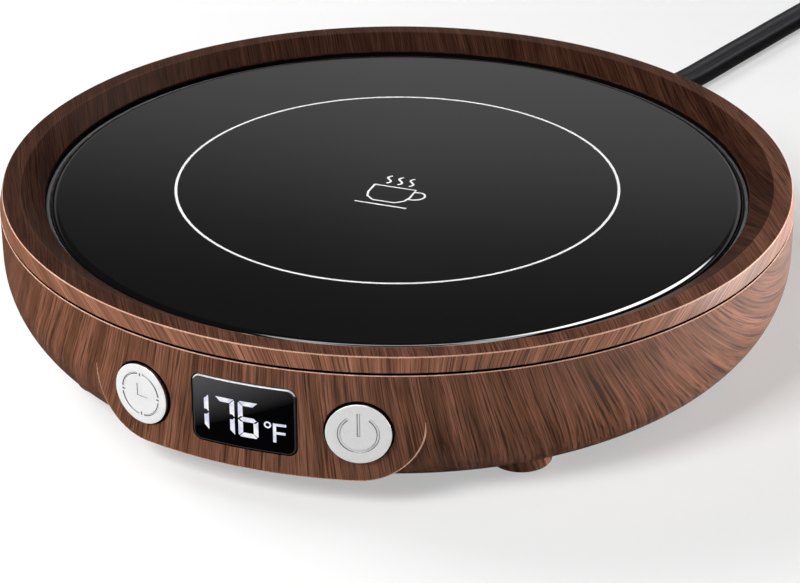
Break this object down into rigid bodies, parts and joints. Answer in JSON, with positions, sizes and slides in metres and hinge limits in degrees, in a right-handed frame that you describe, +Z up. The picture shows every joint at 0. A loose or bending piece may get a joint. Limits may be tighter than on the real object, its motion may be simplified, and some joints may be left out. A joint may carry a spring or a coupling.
{
  "type": "electric mug warmer",
  "caption": "Round electric mug warmer: sunken glass hotplate in a wood-look rim and bowl, curved panel with two push buttons and a display, four feet and a mains lead with plug.",
  "frame": {"origin": "centre of the round footprint, on the surface that the feet stand on", "axes": "+Z up out of the hotplate, -Y towards the control panel, +X to the right seen from the panel; the mains lead leaves at the back, +Y"},
  "size_m": [0.2218, 0.33, 0.03],
  "materials": {
    "wood_look_plastic": "moulded ABS with a printed dark walnut grain and a satin lacquer",
    "silicone": "matt moulded silicone",
    "black_glass": "black-backed toughened glass, polished, with a white printed ring",
    "aluminium": "plain pressed sheet",
    "mica": "pressed mica",
    "ceramic_fibre": "felted ceramic fibre",
    "steel": "zinc plated",
    "ceramic": "glazed ceramic",
    "wire_sleeve": "woven glass-fibre sleeve",
    "black_plastic": "fine moulded texture",
    "rubber": "matt moulded rubber",
    "circuit_board": "green solder mask",
    "component_yellow": "moulded",
    "component_dark": "moulded",
    "component_green": "moulded",
    "clear_plastic": "clear tube with metal ends",
    "ribbon_grey": "flat ribbon",
    "white_plastic": "white reflector plastic",
    "smoked_lens": "smoked polycarbonate, polished",
    "button_metal": "satin electroplated, engraved sign",
    "switch_red": "moulded",
    "cord_rubber": "satin flexible vinyl",
    "tie_plastic": "woven hook-and-loop band",
    "blade_brass": "nickel-plated brass"
  },
  "bodies": {
    "housing": {"top_ring": "wood_look_plastic", "glass_seal": "silicone", "glass_plate": "black_glass", "heat_spreader": "aluminium", "mica_heater": "mica", "insulation_pad": "ceramic_fibre", "retaining_plate": "steel", "plate_screws": "steel", "sensor": "ceramic", "sensor_clip": "steel", "sensor_wires": "wire_sleeve", "thermal_fuse": "ceramic", "fuse_clip": "steel", "heater_wires": "wire_sleeve", "lower_housing": "wood_look_plastic", "base_cover": "black_plastic", "cover_screws": "steel", "case_screws": "steel", "foot_pads": "rubber", "main_board": "circuit_board", "board_screws": "steel", "film_capacitor": "component_yellow", "bulk_capacitor": "component_dark", "transformer": "component_dark", "triac": "component_dark", "board_fuse": "clear_plastic", "terminal_block": "component_green", "buzzer": "component_dark", "ribbon_cable": "ribbon_grey", "control_bracket": "black_plastic", "bracket_screws": "steel", "control_board": "circuit_board", "control_screws": "steel", "tact_switches": "component_dark", "display_module": "white_plastic", "light_guide": "white_plastic", "display_lens": "smoked_lens", "strain_relief": "cord_rubber", "cord_clamp": "black_plastic", "clamp_screws": "steel", "inner_cord": "cord_rubber", "cord_lead": "cord_rubber", "cord_coil": "cord_rubber", "cord_tail": "cord_rubber", "cord_tie": "tie_plastic", "plug_body": "cord_rubber", "plug_blades": "blade_brass"},
    "timer_button": {"timer_cap": "button_metal", "timer_stem": "black_plastic", "timer_plunger": "switch_red"},
    "power_button": {"power_cap": "button_metal", "power_stem": "black_plastic", "power_plunger": "switch_red"}
  },
  "joints": [
    {"name": "timer_button_press", "type": "slide", "parent": "housing", "child": "timer_button", "axis": [0.2639, 0.9646, 0], "range_m": [0, 0.0004], "stiffness_N_per_m": 400, "springref_m": -0.002},
    {"name": "power_button_press", "type": "slide", "parent": "housing", "child": "power_button", "axis": [-0.2639, 0.9646, 0], "range_m": [0, 0.0004], "stiffness_N_per_m": 400, "springref_m": -0.002}
  ]
}
